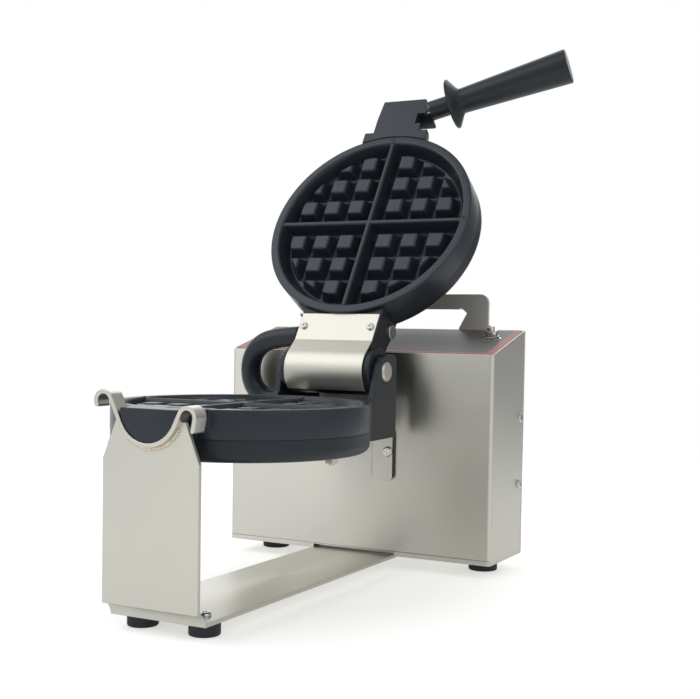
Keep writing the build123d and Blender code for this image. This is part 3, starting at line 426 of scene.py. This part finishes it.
# %% [markdown]
# ## Surfaces from formulas
# The finer pieces are worked out with numpy. A grid of points is a function of two parameters, and
# the faces are the same for every grid: each point joins its neighbours along both parameters.

# %% Mesh helpers
def grid_faces(rows, columns, wrap_columns=False):
    """Four corner numbers for each cell of a grid; wrapped columns close each row into a ring."""
    row = np.arange(rows - 1)
    column = np.arange(columns if wrap_columns else columns - 1)
    a, b = np.meshgrid(row, column, indexing="ij")
    here, ahead = a * columns, (a + 1) * columns
    b1 = (b + 1) % columns
    return np.stack([here + b, ahead + b, ahead + b1, here + b1], axis=-1).reshape(-1, 4)


MERGE, FLAT_EDGE = 2e-6, 1e-7


def piece(name, parts, body, material, smooth_angle, replaces):
    """Joins (points, faces) parts into one object, closes its poles, turns its faces outwards and
    lets it ride on its body."""
    points, faces, first = [], [], 0
    for part_points, part_faces in parts:
        flat = np.asarray(part_points, float).reshape(-1, 3)
        points.append(flat)
        if isinstance(part_faces, list):
            faces.extend([[i + first for i in face] for face in part_faces])
        else:
            faces.extend((part_faces + first).tolist())
        first += len(flat)
    mesh = bpy.data.meshes.new(name)
    mesh.from_pydata(np.concatenate(points).tolist(), [], faces)
    work = bmesh.new()
    work.from_mesh(mesh)
    bmesh.ops.remove_doubles(work, verts=work.verts, dist=MERGE)
    bmesh.ops.dissolve_degenerate(work, edges=work.edges, dist=FLAT_EDGE)
    bmesh.ops.recalc_face_normals(work, faces=work.faces)
    work.to_mesh(mesh)
    work.free()
    mesh.polygons.foreach_set("use_smooth", np.ones(len(mesh.polygons), bool))
    mesh.set_sharp_from_angle(angle=math.radians(smooth_angle))
    mesh.materials.append(material)
    made = bpy.data.objects.new(name, mesh)
    bpy.context.scene.collection.objects.link(made)
    if body:
        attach(made, body)
    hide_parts(*replaces)
    print(name, len(mesh.vertices), "points")
    return made


NEARLY_STRAIGHT = 1.55


def rounded(corners, steps=6):
    """A line through (x, y, radius) corners, each swapped for an arc that touches both of its sides."""
    corners = np.asarray(corners, float)
    out = [corners[:1, :2]]
    for before, here, after in zip(corners[:-2], corners[1:-1], corners[2:]):
        back = (before[:2] - here[:2]) / np.linalg.norm(before[:2] - here[:2])
        ahead = (after[:2] - here[:2]) / np.linalg.norm(after[:2] - here[:2])
        half = math.acos(float(np.clip(back @ ahead, -1, 1))) / 2
        if here[2] <= 0 or half > NEARLY_STRAIGHT:
            out.append(here[None, :2])
            continue
        reach = here[2] / math.tan(half)
        middle = here[:2] + (back + ahead) / np.linalg.norm(back + ahead) * here[2] / math.sin(half)
        start = here[:2] + back * reach - middle
        end = here[:2] + ahead * reach - middle
        t = np.linspace(0, 1, steps + 1)[:, None]
        turn = math.pi - 2 * half
        arc = (np.sin((1 - t) * turn) * start + np.sin(t * turn) * end) / math.sin(turn)
        out.append(middle + arc)
    out.append(corners[-1:, :2])
    return np.concatenate(out)


def turned(profile, start, axis, steps=96):
    """A surface of revolution: the profile's (distance along the axis, radius) pairs become circles."""
    axis = np.asarray(axis, float) / np.linalg.norm(axis)
    side = np.cross(axis, (0, 0, 1) if abs(axis[2]) < 0.9 else (1, 0, 0))
    side /= np.linalg.norm(side)
    other = np.cross(axis, side)
    t = np.arange(steps) * 2 * np.pi / steps
    circle = np.cos(t)[:, None] * side + np.sin(t)[:, None] * other
    s, r = np.asarray(profile, float).T
    points = np.asarray(start, float) + s[:, None, None] * axis + r[:, None, None] * circle
    return points, grid_faces(len(s), steps, wrap_columns=True)


# %% [markdown]
# ## The lid's own place
# The lid is made shut and then swung open about the hinge pin by 121.5 degrees. The same matrix
# takes any point of the shut lid to where it stands in the picture.

# %% Swing of the lid
PIN = np.array([0.0, -41.0, 180.2]) * MM
OPEN = math.radians(-121.5)
c, s = math.cos(OPEN), math.sin(OPEN)
swing = np.array([[1, 0, 0], [0, c, -s], [0, s, c]])


def lid_open(points):
    """Turns points of the shut lid about the pin, to the open lid."""
    return (np.asarray(points, float) - PIN) @ swing.T + PIN


# %% [markdown]
# ## The waffle plates
# Each plate is one casting: a round dish with tapered blocks that press the squares of a waffle,
# and a cross of ribs that parts it in four. Seen from above it is a height over every (x, y), so the
# whole relief is one formula. Smooth versions of min and max round every corner as a mould does.

# %% Relief of a plate
# In mm, from the middle of the plate outwards
AXIS_Z, PAN_Y, PAN_R = 160.0, -189.2, 100.0
RIM_GAP, GRID_H, RIM_R = 0.5, 21.2, 95.0
BLOCK_ROWS = np.array([19.9, 45.3, 70.7])
BLOCK_HALF, BLOCK_FOOT = 7.0, 10.5
RIB_HALF, RIB_FOOT = 1.7, 4.75
TRIM_R, WALL_R, STEEP = 80.5, 92.0, 3.0
# Depths below the rim, in mm; a corner without a block is set deeper than the floor
PLATE_FLOOR, BLOCK_TOP, RIB_TOP, NO_BLOCK = 15.0, 3.0, 0.8, 99.0
# Heights over which two surfaces blend, in mm
BLOCK_SOFT, TOP_SOFT, RIB_SOFT, ROOT_SOFT, FLOOR_SOFT, RIM_SOFT = 1.4, 1.2, 1.6, 3.0, 3.2, 2.4


def soft_min(a, b, k):
    """The smaller of a and b, with the crease between them rounded over a height of k."""
    h = np.clip(1 - np.abs(a - b) / k, 0, None)
    return np.minimum(a, b) - h * h * k / 4


def soft_max(a, b, k):
    """The larger of a and b, rounded in the same way."""
    return -soft_min(-a, -b, k)


def plate_depth(x, y):
    """Depth below the rim: the floor, the blocks and ribs that rise from it, and a round wall."""
    r = np.hypot(x, y)
    last = len(BLOCK_ROWS) - 1
    near_x = np.abs(np.abs(x)[..., None] - BLOCK_ROWS)
    near_y = np.abs(np.abs(y)[..., None] - BLOCK_ROWS)
    slope = (PLATE_FLOOR - BLOCK_TOP) / (BLOCK_FOOT - BLOCK_HALF)
    side_x = BLOCK_TOP + (near_x.min(-1) - BLOCK_HALF) * slope
    side_y = BLOCK_TOP + (near_y.min(-1) - BLOCK_HALF) * slope
    corner = (near_x.argmin(-1) == last) & (near_y.argmin(-1) == last)
    block = soft_max(side_x, side_y, BLOCK_SOFT)
    block = soft_max(block, BLOCK_TOP + (r - TRIM_R) * STEEP, BLOCK_SOFT)
    block = soft_max(block, BLOCK_TOP + 0 * x, TOP_SOFT)
    block = np.where(corner, NO_BLOCK, block)
    rib_slope = (PLATE_FLOOR - RIB_TOP) / (RIB_FOOT - RIB_HALF)
    rib = RIB_TOP + (np.minimum(np.abs(x), np.abs(y)) - RIB_HALF) * rib_slope
    rib = soft_max(rib, RIB_TOP + 0 * x, RIB_SOFT)
    depth = soft_min(soft_min(block, rib, ROOT_SOFT), PLATE_FLOOR + 0 * x, FLOOR_SOFT)
    wall = soft_max((WALL_R - r) * STEEP, 0 * x, RIM_SOFT)
    return soft_min(depth, wall, ROOT_SOFT)


LINE_STEP = 0.7
WALL_LINES = [84.5, 87, WALL_R, 95.2]
CUT_R, BACK_R = 94.6, 40


def plate_lines():
    """Grid lines from the middle outwards that fall on every block edge, at most a step apart."""
    sides = (-BLOCK_FOOT, -BLOCK_HALF, BLOCK_HALF, BLOCK_FOOT)
    edges = [0, RIB_HALF, RIB_FOOT]
    edges += [round(float(row) + side, 2) for row in BLOCK_ROWS for side in sides] + WALL_LINES
    counts = [max(2, math.ceil((b - a) / LINE_STEP)) + 1 for a, b in zip(edges[:-1], edges[1:])]
    runs = [np.linspace(a, b, n)[:-1] for a, b, n in zip(edges[:-1], edges[1:], counts)]
    half = np.concatenate(runs)
    return np.concatenate([-half[:0:-1], half])


def waffle_plate(upper):
    """The relief on a square grid cut to the rim, then rings down the wall and across the back."""
    lines = plate_lines()
    x, y = np.meshgrid(lines, lines, indexing="ij")
    cells = grid_faces(len(lines), len(lines))
    flat_x, flat_y = x.ravel(), y.ravel()
    cells = cells[(np.hypot(flat_x[cells], flat_y[cells]) < CUT_R).all(1)]
    pairs = np.sort(np.concatenate([cells[:, [i, (i + 1) % 4]] for i in range(4)]), axis=1)
    keys, counts = np.unique(pairs[:, 0] * len(flat_x) + pairs[:, 1], return_counts=True)
    border = keys[counts == 1]
    rim = np.unique(np.concatenate([border // len(flat_x), border % len(flat_x)]))
    angle = np.arctan2(flat_y[rim], flat_x[rim])
    rim, angle = rim[np.argsort(angle)], np.sort(angle)
    used, packed = np.unique(cells, return_inverse=True)
    px, py = flat_x[used].copy(), flat_y[used].copy()
    depth = plate_depth(px, py)
    at_rim = np.searchsorted(used, rim)
    px[at_rim], py[at_rim], depth[at_rim] = RIM_R * np.cos(angle), RIM_R * np.sin(angle), 0.0
    top = np.stack([px, py, depth], axis=-1)
    edge = rounded(
        [(RIM_R, 0, 0), (PAN_R, 0, 1.3), (PAN_R, GRID_H, 0.5), (BACK_R, GRID_H, 0), (0, GRID_H, 0)]
    )
    ring = np.stack([np.cos(angle), np.sin(angle)], axis=-1)
    drop = np.broadcast_to(edge[:, None, 1:], (len(edge), len(ring), 1))
    wall = np.concatenate([edge[:, None, :1] * ring, drop], axis=-1)
    wall_faces = grid_faces(len(edge), len(ring), wrap_columns=True)
    parts = []
    side = 1 if upper else -1
    for points, faces in ((top, packed.reshape(-1, 4)), (wall, wall_faces)):
        height = AXIS_Z + side * (RIM_GAP + points[..., 2])
        placed = np.stack([points[..., 0], points[..., 1] + PAN_Y, height], axis=-1) * MM
        parts.append((lid_open(placed) if upper else placed, faces))
    return parts


# %% [markdown]
# ## Half of the front journal
# The plates end in front in a round journal that is split along the same plane as the plates. The
# lower half lies in the cradle: a half disc carried towards -Y, with a small radius on every edge.

# %% Bars with rounded ends
FORWARDS, ACROSS, UPWARDS = (0, -1, 0), (1, 0, 0), (0, 0, 1)


def bar(outline, direction, start, length, across, upwards, edge, steps=4):
    """Carries a closed (a, b) outline along a direction and rounds both ends: near an end the outline
    shrinks by edge * (1 - sin t) at the place edge * (1 - cos t), with t from 0 to a quarter turn."""
    outline = np.asarray(outline, float)
    ahead = np.roll(outline, -1, axis=0) - outline
    ahead /= np.linalg.norm(ahead, axis=1)[:, None]
    normal = np.stack([ahead[:, 1], -ahead[:, 0]], axis=-1)
    mean = normal + np.roll(normal, 1, axis=0)
    mean /= np.maximum(np.sum(mean * normal, axis=1), 0.4)[:, None]
    next_a, next_b = np.roll(outline, -1, axis=0).T
    area = np.sum(outline[:, 0] * next_b - outline[:, 1] * next_a)
    outward = mean * np.sign(area)
    t = np.linspace(0, np.pi / 2, steps + 1)
    inset = np.concatenate([edge * (1 - np.sin(t)), edge * (1 - np.cos(t))])
    along = np.concatenate([edge * (1 - np.cos(t)), length - edge * (1 - np.sin(t))])
    rings = outline[None] - outward[None] * inset[:, None, None]
    across, upwards, direction = (np.asarray(v, float) for v in (across, upwards, direction))
    points = (
        np.asarray(start, float) + rings[..., :1] * across + rings[..., 1:] * upwards
        + along[:, None, None] * direction
    )
    n = len(outline)
    faces = grid_faces(len(along), n, wrap_columns=True).tolist()
    faces.append(list(range(n)))
    faces.append([(len(along) - 1) * n + i for i in range(n)])
    return points, faces


CORNER_R = 0.7


def half_disc(radius, gap, steps=48):
    """The outline of the lower half of a disc, cut off at the given gap below its middle."""
    low = math.asin(gap / radius)
    t = np.linspace(low, math.pi - low, steps)
    arc = [(radius * math.cos(a), -radius * math.sin(a), 0) for a in t]
    middle, first, last = (0, -gap, 0), (*arc[0][:2], CORNER_R), (*arc[-1][:2], CORNER_R)
    return rounded([middle, first, *arc[1:-1], last, middle], 4)[:-1]


JOURNAL_R, COLLAR_R = 24.0, 33.0
journal = bar(
    half_disc(JOURNAL_R, 0.2) * MM, FORWARDS, (0, -0.2900, 0.160), 0.0174, ACROSS, UPWARDS, 0.0008
)
collar = bar(
    half_disc(COLLAR_R, 0.45) * MM, FORWARDS, (0, -0.2700, 0.160), 0.0253, ACROSS, UPWARDS, 0.0012
)
piece(
    "lower_plate", waffle_plate(False) + [journal, collar], "pans", coated_plate, 50.0,
    ["lower_grid"],
)
piece(
    "upper_plate", waffle_plate(True), "lid", coated_plate, 50.0, ["upper_grid"]
)

# %% [markdown]
# ## The grip
# The handle is turned about its own line: a round guard keeps the hand off the hot plate, and the
# grip behind it grows towards its end. It is one profile of distances, radii and corner roundings,
# spun about the line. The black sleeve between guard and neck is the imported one.

# %% Grip
lean = math.radians(18.4)
grip_from = np.array([29.6, -41.0 - 280.7, 180.2 - 16.0]) * MM
grip_along = np.array([math.cos(lean), -math.sin(lean), 0.0])
guard = [(19.5, 0, 0), (19.5, 10.4, 0.3), (18.6, 13.0, 1.0), (20.4, 23.4, 1.2), (21.6, 24.0, 0.5)]
guard += [(22.8, 23.4, 0.7), (28.4, 14.6, 1.6), (30.4, 12.1, 0.9)]
taper = [(34.0, 12.0, 1.0), (136.0, 16.2, 1.5), (136.0, 0, 0)]
grip_profile = rounded(guard + taper, 8) * MM
points, faces = turned(grip_profile, grip_from, grip_along)
piece(
    "grip_moulding", [(lid_open(points), faces)], "lid", grip_plastic, 40.0, ["grip"]
)

# %% [markdown]
# ## The hose
# The heater in the lid gets its current through a black hose. It leaves the hub, loops out to the
# left and goes into the lid's arm, and on the machine it bends as the lid swings; the tube made here
# keeps one shape and rides on neither body. A few points pull its line into its loop. The line
# touches the middle of each side between them and bends evenly, and the tube follows that line.

# %% Hose line
hose_points = np.array([
    (-40.2, -10.0, 156.0), (-60.0, -10.5, 155.0), (-86.0, -14.0, 148.5), (-102.0, -16.0, 163.0),
    (-102.5, -18.0, 186.0), (-90.0, -19.8, 202.5), (-70.0, -19.6, 208.0), (-47.7, -19.6, 209.3),
]) * MM
HOSE_D = 0.0185


def smooth_line(points, rounds=4):
    """Cuts every corner a quarter of the way along both of its sides, a few times over. The line
    that is left touches the middle of each side and bends evenly, as a stiff hose does."""
    for _ in range(rounds):
        before, after = points[:-1], points[1:]
        cut = np.stack([before * 0.75 + after * 0.25, before * 0.25 + after * 0.75], axis=1)
        points = np.concatenate([points[:1], cut.reshape(-1, 3)[1:-1], points[-1:]])
    return points


def tube(line, radius, steps=32):
    """A round tube about a line: at each point a circle that stands across the line's direction."""
    ahead = np.gradient(line, axis=0)
    ahead /= np.linalg.norm(ahead, axis=1)[:, None]
    side = np.cross(ahead, (0, 1, 0))
    side /= np.linalg.norm(side, axis=1)[:, None]
    other = np.cross(ahead, side)
    t = np.arange(steps) * 2 * np.pi / steps
    circle = np.cos(t)[None, :, None] * side[:, None] + np.sin(t)[None, :, None] * other[:, None]
    sizes = np.broadcast_to(radius, len(line))[:, None, None]
    points = line[:, None] + sizes * circle
    faces = grid_faces(len(line), steps, wrap_columns=True).tolist()
    faces += [list(range(steps)), [(len(line) - 1) * steps + i for i in range(steps)]]
    return points, faces


hose_line = smooth_line(hose_points)
hose_length = float(np.linalg.norm(np.diff(hose_line, axis=0), axis=1).sum())
hose = piece("hose", [tube(hose_line, HOSE_D / 2)], None, hose_rubber, 60.0, ["conduit"])
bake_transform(hose)
print("hose length", round(hose_length, 4), "m")

# %% [markdown]
# ## The weld bead
# The strip sits in the cradle's notch on a weld. A bead is a row of drops that froze one over the
# other, so it is a tube along the notch whose radius swells and pinches as it goes.

# %% Weld bead
weld_low, weld_high = (np.array(corner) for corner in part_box("saddle_weld"))
BEAD_SPAN, BEAD_R, BEAD_RAISED, DROPS, POINTS_A_DROP = math.radians(62), 0.0019, 0.0009, 30, 8


def weld_bead():
    """Points at angle t from straight down about the journal's axis. The drops are the peaks of
    |sin|, and two slow waves keep them from being alike."""
    t = np.linspace(-BEAD_SPAN, BEAD_SPAN, DROPS * POINTS_A_DROP)
    reach = AXIS_Z * MM - weld_low[2] - BEAD_RAISED
    face = weld_high[1]
    line = np.stack([reach * np.sin(t), 0 * t + face, AXIS_Z * MM - reach * np.cos(t)], axis=-1)
    step = (t / BEAD_SPAN + 1) * DROPS / 2 * np.pi
    waves = np.sin(step * 0.37 + 1) * np.sin(step * 0.113)
    swell = 0.62 + 0.38 * np.abs(np.sin(step)) ** 0.6 + 0.16 * waves
    ends = np.clip((BEAD_SPAN - np.abs(t)) / 0.08, 0.15, 1) ** 0.5
    return tube(line, BEAD_R * swell * ends, 14)


piece("weld_bead", [weld_bead()], "stand", weld, 80.0, ["saddle_weld"])

# %% [markdown]
# ## Floor and light
# A pale floor and soft light from large lamps, as in a small product studio. The background is white
# for the camera. What a steel sheet shows is its surroundings, so the studio has a bright side at the
# front left, a narrow dark card beside it, a bright wall at the back left, a dimmer one at the back
# right and a calmer ceiling. Only mirrored rays see them.

# %% Floor
floor_finish = Finish("pale_floor", Roughness=0.9, Base_Color=(0.88, 0.88, 0.87))
FLOOR_R, FLOOR_Y, FLOOR_SIDES = 1.25, -0.1, 64


def stage_floor():
    """A flat round floor at z = 0, small enough that the steel mirrors the studio beyond its edge."""
    t = np.arange(FLOOR_SIDES) * 2 * np.pi / FLOOR_SIDES
    rim = np.stack([FLOOR_R * np.cos(t), FLOOR_R * np.sin(t) + FLOOR_Y, 0 * t], axis=-1)
    mesh = bpy.data.meshes.new("floor")
    mesh.from_pydata(rim.tolist(), [], [list(range(FLOOR_SIDES))])
    made = bpy.data.objects.new("floor", mesh)
    bpy.context.scene.collection.objects.link(made)
    return made


floor = stage_floor()
tree = floor_finish.tree
rays = tree.nodes.new("ShaderNodeLightPath")
seen = Field(tree, rays.outputs["Is Camera Ray"])
mirrored = Field(tree, rays.outputs["Is Glossy Ray"])
floor_finish.set(Emission_Color=(1.0, 1.0, 0.98), Emission_Strength=seen * 0.50 + mirrored * 0.22)
floor.data.materials.append(floor_finish.material)

# %% Lamps and background
AIM = (0, -0.1, 0.2)


def soft_lamp(name, place, aim, size, power):
    """A rectangular lamp of size (width, height) in metres and power in watts, turned to its aim."""
    data = bpy.data.lights.new(name, "AREA")
    data.shape, data.size, data.size_y, data.energy = "RECTANGLE", size[0], size[1], power
    made = bpy.data.objects.new(name, data)
    made.location = place
    made.rotation_euler = (Vector(aim) - Vector(place)).to_track_quat("-Z", "Y").to_euler()
    bpy.context.scene.collection.objects.link(made)
    return made


soft_lamp("key", (-1.5, -1.5, 2.2), AIM, (3.0, 2.4), 26.0)
soft_lamp("fill", (2.2, -0.9, 1.6), AIM, (1.8, 1.8), 8.0)
soft_lamp("back", (-0.6, 1.8, 1.8), AIM, (2.4, 1.8), 11.0)

world = bpy.data.worlds.new("studio")
bpy.context.scene.world = world
world.use_nodes = True
sky = world.node_tree
background = sky.nodes["Background"]
sky_rays = sky.nodes.new("ShaderNodeLightPath")
direct = Field(sky, sky_rays.outputs["Is Camera Ray"])
mirrored = Field(sky, sky_rays.outputs["Is Glossy Ray"])
facing = sky.nodes.new("ShaderNodeSeparateXYZ")
sky.links.new(add_node(sky, "ShaderNodeTexCoord", output="Generated").socket, facing.inputs[0])
to_x, to_y, to_z = (Field(sky, s) for s in facing.outputs)
turn = to_x.sum("ARCTAN2", 0.0 - to_x, 0.0 - to_y)


def hump(field, centre, width):
    """1 at the centre, falling smoothly to 0 at a distance of width on either side."""
    away = (field - centre).size()
    near = away.sum("MULTIPLY_ADD", away, -1.0 / width, 1.0, clamp=True)
    return near * near * (3.0 - near * 2.0)


low_band = hump(to_z, 0.05, 0.75)
bright_side = hump(turn, math.radians(31), math.radians(26)) * low_band
dark_card = hump(turn, math.radians(12), math.radians(14)) * low_band
back_left = hump(turn, math.radians(150), math.radians(60)) * low_band
back_right = hump(turn, math.radians(-150), math.radians(60)) * low_band
ceiling = to_z.over(0.75, 0.6)
studio = (
    0.58 + bright_side * 0.42 - dark_card * 0.50 + back_left * 0.62 - back_right * 0.34 - ceiling * 0.14
)
level = direct + mirrored * studio + (1.0 - direct) * (1.0 - mirrored) * 0.50
background.inputs["Color"].default_value = (1.0, 1.0, 1.0, 1.0)
sky.links.new(level.socket, background.inputs["Strength"])
